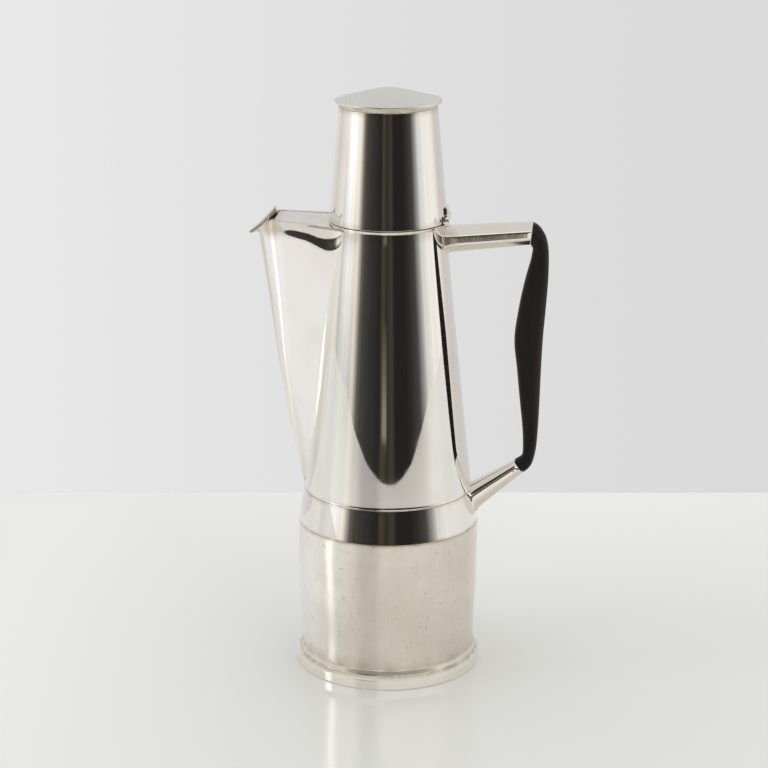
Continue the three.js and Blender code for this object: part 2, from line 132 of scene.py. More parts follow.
UPPER_ARM = {"start": (24, 209.25), "end": (66.7, 212.9), "r0": 6.3, "r1": 5.25, "root": 3.5, "round": 0.36}
LOWER_ARM = {"start": (33.5, 78.6), "end": (62.6, 99.3), "r0": 7.15, "r1": 3.8, "root": 7.0, "round": 0.8}
ARM_FLARE = 0.9  # solder fillet at the root: how far it stands out and how fast it fades
ARM_FLARE_RUN = 0.9
ARM_WALL = 0.9
ARM_FACE = 0.985  # how far the flats of an arm lie from its axis, as a share of its radius
PIN_BACK = 3.0
GRIP_POWER = 2.35  # 2 is an ellipse; more is squarer
GRIP_FACETS = 48
GRIP = [  # outer x, z and inner x, z of each section, and its half width
    (67.5, 218.1, 66.3, 207.7, 5.2), (69.9, 216.7, 67.1, 206.6, 5.3), (72.2, 213.9, 67.4, 205.3, 5.3),
    (74.0, 209.9, 67.1, 203.4, 5.3), (75.0, 202.8, 66.5, 200.0, 5.3), (74.9, 190, 63.9, 190, 5.7),
    (74.0, 176, 61.3, 176.5, 6.1), (73.0, 162, 59.6, 162, 6.3), (72.4, 147, 61.1, 147, 6.0),
    (72.0, 132, 62.6, 132.5, 5.4), (71.5, 118, 64.1, 118.5, 4.8), (70.7, 108, 64.5, 108.5, 4.3),
    (69.2, 101.5, 64.1, 105.0, 4.0), (67.4, 98.5, 62.7, 103.6, 3.9), (65.2, 96.6, 60.9, 102.6, 3.8),
]

KNUCKLE_R = 1.5
KNUCKLE_HALF = 9.6
KNUCKLE_MID = 3.2
LEAF_THICK = 0.8
LEAF_GAP = 0.3  # solder between a leaf and the wall that carries it

# ---- camera ----
TURN = math.radians(5.0)  # the pot stands turned, handle slightly towards the camera
CAMERA_AWAY = 1.0187  # metres from the pot's axis, and above the table
CAMERA_HEIGHT = 0.4326
CAMERA_DOWN = math.radians(16.11)
CAMERA_ASIDE = 0.00196
CAMERA_LENS = 104.5

RIGHT = Vector((math.cos(TURN), math.sin(TURN), 0))
AWAY = Vector((-math.sin(TURN), math.cos(TURN), 0))
AXIS = Vector((AXIS_X, 0, 0))

data = bpy.data.cameras.new("camera")
data.lens = CAMERA_LENS
data.sensor_width = 36
data.clip_start = 0.01
data.clip_end = 50
camera = bpy.data.objects.new("camera", data)
bpy.context.scene.collection.objects.link(camera)
camera.location = AXIS - AWAY * CAMERA_AWAY - RIGHT * CAMERA_ASIDE + Vector((0, 0, CAMERA_HEIGHT))
sight = AWAY * math.cos(CAMERA_DOWN) - Vector((0, 0, math.sin(CAMERA_DOWN)))
camera.rotation_mode = "QUATERNION"
camera.rotation_quaternion = sight.to_track_quat("-Z", "Y")
bpy.context.scene.camera = camera
bpy.context.scene.view_settings.view_transform = "Standard"


# ---- mesh helpers ----
def smooth_line(points, steps):
    """Catmull-Rom curve through the points, with that many steps to a span."""
    pts = np.array(points, float)
    ends = np.vstack([2 * pts[0] - pts[1], pts, 2 * pts[-1] - pts[-2]])
    out = []
    for i in range(1, len(ends) - 2):
        p0, p1, p2, p3 = ends[i - 1: i + 3]
        for t in np.arange(steps) / steps:
            out.append(0.5 * (2 * p1 + (p2 - p0) * t + (2 * p0 - 5 * p1 + 4 * p2 - p3) * t**2
                              + (3 * p1 - p0 - 3 * p2 + p3) * t**3))
    out.append(pts[-1])
    return np.array(out)


def corner(before, at, after, radius, steps=5):
    """Arc that rounds one corner of an outline, with a support point on either side of it."""
    before, at, after = (np.array(p, float) for p in (before, at, after))
    u = (before - at) / np.linalg.norm(before - at)
    v = (after - at) / np.linalg.norm(after - at)
    half = math.acos(max(-1.0, min(1.0, float(u @ v)))) / 2
    reach = min(radius / math.tan(half), 0.45 * min(np.linalg.norm(before - at), np.linalg.norm(after - at)))
    a, b = at + u * reach, at + v * reach
    arc = [(1 - t) ** 2 * a + 2 * t * (1 - t) * at + t**2 * b for t in np.linspace(0, 1, steps)]
    return [at + u * reach * 1.6, *arc, at + v * reach * 1.6]


def rounded(outline, closed=True):
    """Outline of (radius, z, rounding) points with each corner rounded by its own amount."""
    out = []
    count = len(outline)
    for i, (*at, rounding) in enumerate(outline):
        if rounding <= 0 or (not closed and i in (0, count - 1)):
            out.append(np.array(at, float))
            continue
        before, after = outline[i - 1], outline[(i + 1) % count]
        out.extend(corner(before[:2], at, after[:2], rounding))
    return out


def new_mesh(name, points, faces, body, look, nodes):
    """A smooth piece that rides a body and takes the place of the named CAD nodes."""
    mesh = bpy.data.meshes.new(name)
    mesh.from_pydata([tuple(p) for p in points], [], faces)
    mesh.validate()
    mesh.update()
    mesh.shade_smooth()
    piece = bpy.data.objects.new(name, mesh)
    bpy.context.scene.collection.objects.link(piece)
    piece.data.materials.append(look)
    face_outward(piece)
    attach(piece, body)
    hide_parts(*nodes)
    return piece


def face_outward(piece):
    work = bmesh.new()
    work.from_mesh(piece.data)
    bmesh.ops.remove_doubles(work, verts=work.verts, dist=1e-7)
    bmesh.ops.recalc_face_normals(work, faces=work.faces)
    work.to_mesh(piece.data)
    work.free()


def grid_faces(rows, columns, wrap_rows=False, wrap_columns=False):
    """Quads over a grid of points stored row by row."""
    faces = []
    for r in range(rows if wrap_rows else rows - 1):
        for c in range(columns if wrap_columns else columns - 1):
            r1, c1 = (r + 1) % rows, (c + 1) % columns
            faces.append((r * columns + c, r * columns + c1, r1 * columns + c1, r1 * columns + c))
    return faces


def plate_faces(rows, columns):
    """Faces of a closed plate: an upper grid, a lower grid stored after it, and the edge between them."""
    upper = grid_faces(rows, columns)
    shift = rows * columns
    lower = [tuple(shift + i for i in reversed(face)) for face in upper]
    last = shift - columns
    border = list(range(columns)) + [r * columns + columns - 1 for r in range(1, rows)]
    border += [last + c for c in range(columns - 2, -1, -1)] + [r * columns for r in range(rows - 2, 0, -1)]
    edge = [(border[i], border[i - 1], shift + border[i - 1], shift + border[i]) for i in range(len(border))]
    return upper + lower + edge


def pot_point(x, y, z):
    return (AXIS_X + x * MM, y * MM, z * MM)


def turned(name, outline, body, look, nodes):
    """A piece turned round the pot axis from a closed (r, z) outline in millimetres."""
    angles = np.linspace(0, 2 * math.pi, ROUND, endpoint=False)
    points = [pot_point(r * math.cos(a), r * math.sin(a), z) for r, z in outline for a in angles]
    faces = grid_faces(len(outline), ROUND, wrap_rows=True, wrap_columns=True)
    new_mesh(name, points, faces, body, look, nodes)


CONE_LINE = np.vstack([CONE_FILLET, smooth_line(CONE_PROFILE, 10)])


def cone_radius(z):
    return float(np.interp(z, CONE_LINE[:, 1], CONE_LINE[:, 0]))


# ---- materials ----
SILVER_TINT = (0.93, 0.905, 0.865)
# colour of tarnish; the same colour is used for painted shade on the spout and the arms
STAIN_AND_SHADE_TINT = (0.52, 0.42, 0.29)
STAIN_ROUGHNESS = 0.22  # what full tarnish adds to the roughness
WOOD_DARK = (0.006, 0.005, 0.0045, 1)
WOOD_GRAIN = (0.016, 0.011, 0.009, 1)
WOOD_WORN = (0.032, 0.020, 0.014, 1)


def material(name):
    made = bpy.data.materials.new(name)
    made.use_nodes = True
    tree = made.node_tree
    return made, tree, tree.nodes["Principled BSDF"]


def node(tree, kind, inputs=None, **settings):
    made = tree.nodes.new(kind)
    for key, value in settings.items():
        setattr(made, key, value)
    for key, value in (inputs or {}).items():
        if isinstance(value, bpy.types.NodeSocket):
            tree.links.new(value, made.inputs[key])
        else:
            made.inputs[key].default_value = value
    return made


def noise(tree, vector, scale, detail=4.0, rough=0.5):
    return node(tree, "ShaderNodeTexNoise", {
        "Vector": vector, "Scale": scale, "Detail": detail, "Roughness": rough,
    }).outputs["Fac"]


def stretched(tree, vector, scale):
    return node(tree, "ShaderNodeMapping", {"Vector": vector, "Scale": scale}).outputs["Vector"]


def remap(tree, value, low, high, to_low, to_high):
    return node(tree, "ShaderNodeMapRange", {
        "Value": value, "From Min": low, "From Max": high, "To Min": to_low, "To Max": to_high,
    }).outputs["Result"]


def calc(tree, operation, a, b=0.0):
    return node(tree, "ShaderNodeMath", {0: a, 1: b}, operation=operation).outputs[0]


def blend_colour(tree, factor, a, b):
    """Colour a where the factor is 0 and b where it is 1."""
    return node(tree, "ShaderNodeMix", {0: factor, 6: a, 7: b}, data_type="RGBA").outputs[2]


def scale_colour(tree, colour, factor):
    made = node(tree, "ShaderNodeVectorMath", {0: colour, "Scale": factor}, operation="SCALE")
    return made.outputs["Vector"]


def split(tree, vector):
    """The X, Y and Z outputs of a vector."""
    return node(tree, "ShaderNodeSeparateXYZ", {"Vector": vector}).outputs


def object_place(tree):
    return node(tree, "ShaderNodeTexCoord").outputs["Object"]


def flat_xz(tree, place):
    """The place seen from the side, so that a spot reaches right across the pot."""
    made = node(tree, "ShaderNodeVectorMath", {0: place, 1: (1.0, 0.0, 1.0)}, operation="MULTIPLY")
    return made.outputs["Vector"]


def near_height(tree, height, z_mm, reach_mm):
    """1 at a height on the object and 0 further away than the reach."""
    gap = calc(tree, "ABSOLUTE", calc(tree, "SUBTRACT", height, z_mm * MM))
    return remap(tree, gap, 0.0, reach_mm * MM, 1.0, 0.0)


def tarnish_and_shade_mask(tree, coords, patches, specks, tarnish, seams, spots, worn, under, shadow):
    """Darkening of the silver: tarnish in slow patches, ragged lines at seams and pits; painted shade at
    spots, undersides and shadows.
    """
    place = coords["Object"]
    height = split(tree, place)["Z"]
    masks = []
    for z_mm, reach_mm, amount in seams:
        band = calc(tree, "MULTIPLY", near_height(tree, height, z_mm, reach_mm), amount)
        ragged = remap(tree, noise(tree, place, 160.0, 4.0), 0.3, 0.65, 0.25, 1.0)
        masks.append(calc(tree, "MULTIPLY", band, ragged))
    # the spots are painted shade at given places
    for x_mm, z_mm, reach_mm, amount in spots:
        away = node(tree, "ShaderNodeVectorMath", {0: flat_xz(tree, place), 1: pot_point(x_mm, 0, z_mm)},
                    operation="DISTANCE").outputs["Value"]
        masks.append(remap(tree, away, reach_mm * 0.4 * MM, reach_mm * MM, amount, 0.0))
    if worn:
        masks.append(remap(tree, specks, 0.66, 0.73, 0.0, 0.75 * worn))
    # painted shade: faces that look downward get the stain colour
    if under:
        masks.append(remap(tree, split(tree, coords["Normal"])["Z"], 0.14, -0.3, 0.0, under))
    # the shadow function adds painted shade
    if shadow:
        masks.append(shadow(tree, place))
    stain_and_shade = remap(tree, patches, 0.5, 0.8, 0.0, 0.35 * tarnish)
    for mask in masks:
        stain_and_shade = calc(tree, "MAXIMUM", stain_and_shade, mask)
    return stain_and_shade


def silver(name, haze, wave, seams=(), tint=SILVER_TINT, tarnish=0.5, scratch=0.5, spots=(),
           painted_light_left_tint=None, worn=0.0, under=0.0, stain_and_shade_tint=STAIN_AND_SHADE_TINT, shadow=None):
    """Polished silver: fine vertical polishing scratches, slow hand-raised waviness, tarnish at the seams.

    haze is the roughness, wave the depth of the waviness in mm; seams are (z, reach, amount) and spots of
    painted shade (x, z, reach, amount) in mm; the left tint paints the side towards the spout paler, as
    painted light.
    """
    made, tree, shader = material(name)
    coords = node(tree, "ShaderNodeTexCoord").outputs
    place = coords["Object"]
    patches = noise(tree, place, 38.0, 5.0, 0.62)
    fine = noise(tree, stretched(tree, place, (1.0, 1.0, 0.06)), 900.0, 3.0, 0.6)
    specks = noise(tree, place, 420.0, 2.0, 0.7)
    stain_and_shade = tarnish_and_shade_mask(tree, coords, patches, specks, tarnish, seams, spots, worn, under, shadow)
    clean = (*tint, 1)
    # painted light: the side towards the spout, facing the bright left, is painted paler
    if painted_light_left_tint:
        leftward = remap(tree, split(tree, place)["X"], AXIS_X - 0.014, AXIS_X - 0.034, 0.0, 1.0)
        clean = blend_colour(tree, leftward, clean, (*painted_light_left_tint, 1))
    colour = blend_colour(tree, stain_and_shade, clean, (*stain_and_shade_tint, 1))
    if worn:
        clouds = noise(tree, place, 75.0, 6.0, 0.72)
        mottle = calc(tree, "MULTIPLY", remap(tree, clouds, 0.32, 0.68, 1 - 0.10 * worn, 1 + 0.05 * worn),
                      remap(tree, fine, 0.3, 0.7, 1 - 0.04 * worn, 1 + 0.03 * worn))
        colour = scale_colour(tree, colour, mottle)
    tree.links.new(colour, shader.inputs["Base Color"])
    shader.inputs["Metallic"].default_value = 1.0
    rough = calc(tree, "ADD", remap(tree, patches, 0.35, 0.75, haze * 0.75, haze * 1.35),
                 remap(tree, fine, 0.45, 0.75, 0.0, haze * scratch))
    rough = calc(tree, "ADD", rough, calc(tree, "MULTIPLY", stain_and_shade, STAIN_ROUGHNESS))
    tree.links.new(rough, shader.inputs["Roughness"])
    slow = node(tree, "ShaderNodeBump", {
        "Height": noise(tree, stretched(tree, place, (1.0, 1.0, 0.45)), 34.0, 1.5, 0.4),
        "Strength": 1.0, "Distance": wave * MM,
    })
    scratches = node(tree, "ShaderNodeBump", {
        "Height": calc(tree, "ADD", fine, calc(tree, "MULTIPLY", specks, 0.3)),
        "Strength": 0.1 * scratch, "Distance": 0.02 * MM, "Normal": slow.outputs["Normal"],
    })
    tree.links.new(scratches.outputs["Normal"], shader.inputs["Normal"])
    return made


def dark_wood(name):
    """Black-brown oiled hardwood with long fine grain and a slightly worn, browner face."""
    made, tree, shader = material(name)
    place = object_place(tree)
    grain = noise(tree, stretched(tree, place, (1.0, 1.0, 0.05)), 520.0, 6.0, 0.6)
    broad = noise(tree, stretched(tree, place, (1.0, 1.0, 0.22)), 60.0, 4.0, 0.55)
    pores = noise(tree, stretched(tree, place, (1.0, 1.0, 0.10)), 1500.0, 2.0, 0.5)
    tone = blend_colour(tree, remap(tree, grain, 0.35, 0.7, 0.0, 1.0), WOOD_DARK, WOOD_GRAIN)
    tone = blend_colour(tree, remap(tree, broad, 0.45, 0.75, 0.0, 0.5), tone, WOOD_WORN)
    tree.links.new(tone, shader.inputs["Base Color"])
    tree.links.new(remap(tree, broad, 0.3, 0.7, 0.42, 0.56), shader.inputs["Roughness"])
    shader.inputs["Specular IOR Level"].default_value = 0.2
    bump = node(tree, "ShaderNodeBump", {
        "Height": calc(tree, "ADD", grain, remap(tree, pores, 0.55, 0.7, 0.0, -0.6)),
        "Strength": 0.35, "Distance": 0.08 * MM,
    })
    tree.links.new(bump.outputs["Normal"], shader.inputs["Normal"])
    return made


def spout_nose_shadow(tree, place):
    """Painted shade: a slight tan darkening down the nose of the spout."""
    spot = split(tree, place)
    (low_z, low_x), (high_z, high_x) = SPOUT_NOSE[0], SPOUT_NOSE[-2]
    lean = (high_x - low_x) / (high_z - low_z)
    nose = calc(tree, "ADD", calc(tree, "MULTIPLY", spot["Z"], lean), AXIS_X + (low_x - low_z * lean) * MM)
    return remap(tree, calc(tree, "SUBTRACT", spot["X"], nose), 1.5 * MM, 5.0 * MM, 0.22, 0.0)


def lip_fold_shadow(tree, place):
    """Dark lines along the beak: a painted dark line at its outer edge, and painted shade with some tarnish
    inside the beaded edge.
    """
    spot = split(tree, place)
    run = (LIP_EAR[0] - LIP_TIP[0]) / LIP_EAR[1]
    inward = calc(tree, "SUBTRACT", calc(tree, "SUBTRACT", spot["X"], AXIS_X + LIP_TIP[0] * MM),
                  calc(tree, "MULTIPLY", calc(tree, "ABSOLUTE", spot["Y"]), run))
    edge = remap(tree, inward, 0.3 * MM, 0.7 * MM, 0.85, 0.0)
    return calc(tree, "MAXIMUM", edge, remap(tree, inward, 1.5 * MM, 2.1 * MM, 0.05, 0.9))


polished = silver("silver_polished", haze=0.020, wave=0.10, seams=((216.0, 5.0, 0.5), (88.4, 4.0, 0.12)))
# the drum's left tint is painted light: its side towards the spout is painted paler
drum_silver = silver(
    "silver_drum", haze=0.15, wave=0.05, seams=((9.0, 7.0, 0.6), (72.0, 1.6, 0.7), (88.4, 5.0, 0.25)),
    tint=(0.80, 0.74, 0.655), painted_light_left_tint=(0.97, 0.945, 0.91), tarnish=1.0, scratch=0.25, worn=1.0)
band_silver = silver("silver_band", haze=0.020, wave=0.05, seams=((72.3, 1.2, 0.8), (88.0, 1.5, 0.5)))
foot_silver = silver(
    "silver_foot", haze=0.05, wave=0.04, seams=((6.4, 1.5, 1.0), (9.0, 2.0, 0.6)), tint=(0.95, 0.91, 0.84))
lid_silver = silver("silver_lid", haze=0.020, wave=0.09, seams=((218.4, 3.0, 0.5), (271.6, 3.0, 0.7)))
lid_top_silver = silver(
    "silver_lid_top", haze=0.30, wave=0.03, seams=((272.0, 1.6, 0.8),), tint=(0.88, 0.86, 0.83),
    scratch=0.1, worn=0.5)
# the spot paints a soft shadow on the wall under the beak; the nose shadow paints tan shade down the nose
spout_silver = silver(
    "silver_spout", haze=0.06, wave=0.14, seams=((217.5, 7.0, 0.4),), tint=(0.98, 0.965, 0.94),
    spots=((-53.5, 216.0, 7.0, 0.75),), shadow=spout_nose_shadow)
# the dark spot at the beak's root and the dark fold lines are painted shade, partly tarnish in the fold
lip_silver = silver(
    "silver_lip", haze=0.06, wave=0.14, spots=((-53.5, 217.5, 3.0, 0.8),), stain_and_shade_tint=(0.24, 0.205, 0.16),
    shadow=lip_fold_shadow)
# painted shade: the undersides of the arms are tinted tan, and the spot darkens the upper arm's root at the
# pot
arm_silver = silver(
    "silver_arms", haze=0.05, wave=0.05, tint=(0.93, 0.895, 0.84), spots=((27.5, 210.0, 7.0, 0.5),),
    under=0.42)
inside_silver = silver("silver_inside", haze=0.38, wave=0.05, tint=(0.74, 0.71, 0.66), tarnish=1.0)
wood = dark_wood("wood_dark")


# ---- pot body ----
def sheet_outline(line, edge):
    """Closed outline of a sheet that follows an outer line, with its four edges rounded."""
    outer = [(r, z, 0.0) for r, z in line]
    inner = [(r - WALL, z, 0.0) for r, z in line[::-1]]
    for side in (outer, inner):
        for end in (0, -1):
            side[end] = (*side[end][:2], edge)
    return rounded(outer + inner)


def build_body():
    turned("foot", rounded(FOOT_OUTLINE), "pot", foot_silver, ("foot_ring",))
    drum_line = smooth_line(DRUM_PROFILE, 8)
    turned("drum_sheet", sheet_outline(drum_line, 0.18), "pot", drum_silver, ("drum",))
    band_line = np.linspace((DRUM_TOP[0], DRUM_TOP[1] + 0.05), (BAND_TOP[0], BAND_TOP[1] - 0.05), 6)
    turned("shoulder", sheet_outline(band_line, 0.2), "pot", band_silver, ("shoulder_band",))
    turned("rim_wire", rounded(RIM_OUTLINE), "pot", polished, ("neck_rim",))


def window_half(z):
    return float(np.interp(z, (WINDOW_LOW, WINDOW_HIGH), (WINDOW_HALF_LOW, WINDOW_HALF_HIGH)))


def sheet_with_opening(name, line, body, look, nodes, kept):
    """A turned sheet with some cells left out: kept(radius, z, angle) says which stay."""
    angles = np.linspace(0, 2 * math.pi, ROUND, endpoint=False)
    rows = len(line)
    points = [pot_point((r - depth) * math.cos(a), (r - depth) * math.sin(a), z)
              for depth in (0.0, WALL) for r, z in line for a in angles]
    inner = rows * ROUND

    def stays(r, c):
        radius, z = (line[r][0] + line[r + 1][0]) / 2, (line[r][1] + line[r + 1][1]) / 2
        return kept(radius, z, angles[c] + math.pi / ROUND)

    faces = []
    for r in range(rows - 1):
        for c in range(ROUND):
            if not stays(r, c):
                continue
            c1 = (c + 1) % ROUND
            a, b, d, e = r * ROUND + c, r * ROUND + c1, (r + 1) * ROUND + c1, (r + 1) * ROUND + c
            faces += [(a, b, d, e), (inner + a, inner + e, inner + d, inner + b)]
            neighbours = ((a, b, r > 0 and stays(r - 1, c)), (e, d, r < rows - 2 and stays(r + 1, c)),
                          (a, e, stays(r, (c - 1) % ROUND)), (b, d, stays(r, c1)))
            faces += [(p, q, inner + q, inner + p) for p, q, joined in neighbours if not joined]
    piece = new_mesh(name, points, faces, body, look, nodes)
    bevel(piece, 0.2, 60.0)


def build_cone():
    """The tapered sheet, open into the spout."""

    def outside_window(radius, z, angle):
        across = radius * math.sin(angle)
        return not (math.cos(angle) < 0 and WINDOW_LOW < z < WINDOW_HIGH and abs(across) < window_half(z))

    sheet_with_opening("cone_sheet", CONE_LINE, "pot", polished, ("cone_body",), outside_window)


# ---- spout ----
NOSE_LINE = smooth_line(SPOUT_NOSE, 8)


def spout_section(z, inset, samples=24):
    """Half section of the wedge at a height, from the pot to the nose, as (x, y) with y positive."""
    t = max(0.02, (z - SPOUT_APEX_Z) / (SPOUT_TOP_Z - SPOUT_APEX_Z))
    nose = float(np.interp(z, NOSE_LINE[:, 0], NOSE_LINE[:, 1])) + inset
    run = SPOUT_NOSE_RUN * t
    half_nose = max(0.05, SPOUT_HALF_NOSE * t - inset)
    half_body = max(0.08, SPOUT_HALF_BODY * t - inset)
    radius = cone_radius(max(z, BAND_TOP[1]))
    body_x = -math.sqrt(max(radius**2 - half_body**2, 1.0))
    slope = (half_body - half_nose) / (body_x - nose - run)
    back = np.array((body_x + 0.5, half_body + slope * 0.5))
    ends = np.array([(nose + run, half_nose), (nose + run * 0.55, half_nose - slope * run * 0.45),
                     (nose, half_nose * 0.36), (nose, 0.0)])
    flat = [back + (ends[0] - back) * s for s in np.linspace(0, 1, samples, endpoint=False)]
    curve = [(1 - s) ** 3 * ends[0] + 3 * s * (1 - s) ** 2 * ends[1]
             + 3 * s**2 * (1 - s) * ends[2] + s**3 * ends[3] for s in np.linspace(0, 1, samples + 1)]
    return flat + curve


def lip_height(x, y):
    fall = (LIP_BACK[1] - LIP_TIP[1]) / (LIP_BACK[0] - LIP_TIP[0])
    floor = LIP_BACK[1] + fall * (x - LIP_BACK[0])
    ear_floor = LIP_BACK[1] + fall * (LIP_EAR[0] - LIP_BACK[0])
    return floor + (LIP_EAR[2] - ear_floor) / LIP_EAR[1] * abs(y)


def rim_height(x, y):
    """Top of the spout wall: a straight sloping rim, then the fall under the lip."""
    if x < SPOUT_MOUTH_X:
        return min(lip_height(x, y) - LIP_THICK * 0.8, SPOUT_TOP_Z)
    return float(np.interp(x, (SPOUT_MOUTH_X, SPOUT_RIM_BODY_X), (SPOUT_TOP_Z, SPOUT_RIM_BODY_Z)))


DENT = np.array([  # x of the station, depth below the rim, how far in it goes, half its height
    (-52, 4.6, 0.05, 2.2), (-46, 5.1, 0.42, 2.2), (-42, 5.3, 0.70, 2.2), (-36, 6.0, 0.80, 2.3),
    (-31, 7.7, 0.95, 2.6), (-27, 8.5, 1.25, 3.4), (-23, 7.6, 1.35, 3.6), (-19, 4.0, 1.0, 3.0),
]).T
DENT_FULL_Y = 8.0


def dent(x, z):
    """How far the hand-raised wall draws in just under its rim, most of all near the neck."""
    stations, *columns = DENT
    depth, size, reach = (np.interp(x, stations, column) for column in columns)
    t = np.clip((z - (rim_height(x, 0) - depth) + reach) / (2 * reach), 0, 1)
    return float(size * t * t * (3 - 2 * t))


def spout_column(k, inset, low, rows):
    """Points up one column of the wall from low to the rim, closer together near the rim."""
    top = SPOUT_TOP_Z
    for _ in range(12):
        x, y = spout_section(top, inset)[k]
        top = rim_height(x, y)
    heights = low + (top - low) * (1 - (1 - np.linspace(0, 1, rows)) ** 1.6)
    column = []
    for z in heights:
        x, y = spout_section(z, inset)[k]
        drawn_in = dent(x, z) * min(1.0, y / DENT_FULL_Y) if x > DENT[0][0] else 0.0
        column.append((x, y - drawn_in, z))
    return column


def build_spout():
    rows = 84
    half = len(spout_section(SPOUT_TOP_Z, 0))
    columns = []
    for inset, low in ((0.0, SPOUT_START_Z), (SPOUT_WALL, SPOUT_INNER_Z)):
        side = [spout_column(k, inset, low, rows) for k in range(half)]
        mirrored = [[(x, -y, z) for x, y, z in column] for column in side[-2::-1]]
        columns.append(side + mirrored)
    outer, inner = columns
    count = len(outer)
    loop = []
    for k in range(count):
        top_out, top_in = np.array(outer[k][-1]), np.array(inner[k][-1])
        crown = [top_out + (top_in - top_out) * share + (0, 0, rise)
                 for share, rise in ((0.0, -0.15), (0.15, 0.04), (0.5, 0.12), (0.85, 0.04), (1.0, -0.15))]
        loop.append(outer[k][:-1] + crown + inner[k][-2::-1])
    points = [pot_point(*p) for column in loop for p in column]
    length = len(loop[0])
    faces = grid_faces(count, length, wrap_columns=True)
    for column in (0, count - 1):
        base = column * length
        faces += [(base + j, base + j + 1, base + length - 2 - j, base + length - 1 - j)
                  for j in range(length // 2 - 1)]
    new_mesh("spout_wedge", points, faces, "pot", spout_silver, ("spout_shell",))


def build_cover():
    """Flat plate that closes the spout between the walls, from the neck to near the lip."""
    along, across = 21, 25

    def plate(u, v, under):
        start = -math.sqrt(RIM_R**2 - (min(abs(v) * COVER_HALF_BACK, RIM_R - 1)) ** 2) - 0.05
        x = start + (COVER_FRONT_X - start) * u
        half = np.interp(x, (COVER_FRONT_X, COVER_BACK_X), (COVER_HALF_FRONT, COVER_HALF_BACK))
        return pot_point(x, half * v, rim_height(x, 0) - COVER_DROP - under)

    points = [plate(u, v, under) for under in (0.0, COVER_THICK)
              for u in np.linspace(0, 1, along) for v in np.linspace(-1, 1, across)]
    piece = new_mesh("spout_lid_plate", points, plate_faces(along, across), "pot", spout_silver,
                     ("spout_cover",))
    bevel(piece, 0.12)


def bevel(piece, width_mm, angle=35.0):
    made = piece.modifiers.new("edge", "BEVEL")
    made.width = width_mm * MM
    made.segments = 3
    made.limit_method = "ANGLE"
    made.angle_limit = math.radians(angle)
    made.harden_normals = True
    weighted = piece.modifiers.new("normals", "WEIGHTED_NORMAL")
    weighted.keep_sharp = True


def build_lip():
    """Folded V beak, beaded at its edges and ridged beneath, from the nose walls down to a point."""
    across, along = 89, 21
    nose = spout_section(214.0, SPOUT_WALL)
    outline = np.array(nose[::-1] + [np.array((LIP_BACK[0], 30.0))])
    tip = np.array((LIP_TIP[0], 0.0))

    def back_edge(v):
        return np.array((LIP_BACK[0] + (LIP_EAR[0] - LIP_BACK[0]) * abs(v), LIP_EAR[1] * v))

    def first(v):
        """How far from the back edge to the tip the nose wall's inner face lies."""
        start = back_edge(abs(v))
        for s in np.linspace(0, 0.95, 96):
            x, y = start + (tip - start) * s
            if x < float(np.interp(y, outline[:, 1], outline[:, 0])):
                return s
        return 0.0

    top, bottom = [], []
    for turn in np.linspace(-1, 1, across):
        v = math.sin(turn * math.pi / 2)
        s0 = first(v)
        for s in np.linspace(s0, 1, along):
            x, y = back_edge(v) + (tip - back_edge(v)) * s
            width = LIP_EAR[1] * (1 - s)
            from_edge = (1 - abs(v)) * width
            bead = LIP_BEAD * min(1.0, width / 3 + 0.25)
            off = (from_edge - bead) / bead
            swell = bead * math.sqrt(max(0.0, 1 - off * off))
            fold_off = (from_edge - 2 * bead - 1.3 * LIP_FOLD) / LIP_FOLD
            fold = LIP_FOLD * math.sqrt(max(0.0, 1 - fold_off * fold_off)) if width > LIP_FOLD_FROM else 0.0
            z = lip_height(x, y) - LIP_SAG * math.sin(math.pi * (s - s0) / (1.0001 - s0)) * abs(v)
            half = LIP_THICK / 2
            top.append((x, y, z - half + max(half * min(1.0, 1 - off), swell) if off < 1 else z))
            bottom.append((x, y, z - half - max(half, swell) if off < 1 else z - LIP_THICK - fold))
    points = [pot_point(*p) for p in top + bottom]
    faces = plate_faces(across, along)
    new_mesh("pouring_beak", points, faces, "pot", lip_silver, ("pouring_lip",))


# ---- handle ----
def arm_line(arm):
    start = np.array((arm["start"][0], 0.0, arm["start"][1]))
    end = np.array((arm["end"][0], 0.0, arm["end"][1]))
    return start, end, (end - start) / np.linalg.norm(end - start)


def arm_radius(arm, share):
    """Radius of a tapered arm at a share of its length."""
    return arm["r0"] + (arm["r1"] - arm["r0"]) * share


def arm_outline(roundness):
    """Octagon of unit radius with its corners rounded by that share of the radius."""
    core = (1 - roundness) * ARM_FACE
    half_side = math.radians(22.5)
    ring = []
    for k in range(8):
        corner_angle = math.radians(22.5 + 45 * k)
        centre = core / math.cos(half_side) * np.array((math.cos(corner_angle), math.sin(corner_angle)))
        for step in np.linspace(-22.5, 22.5, 9):
            facing = corner_angle + math.radians(step)
            ring.append(centre + roundness * ARM_FACE * np.array((math.cos(facing), math.sin(facing))))
        along = core * math.tan(half_side) * np.array((-math.sin(facing), math.cos(facing)))
        ring += [ring[-1] + along * share for share in (0.25, 1.0, 1.75)]
    return ring


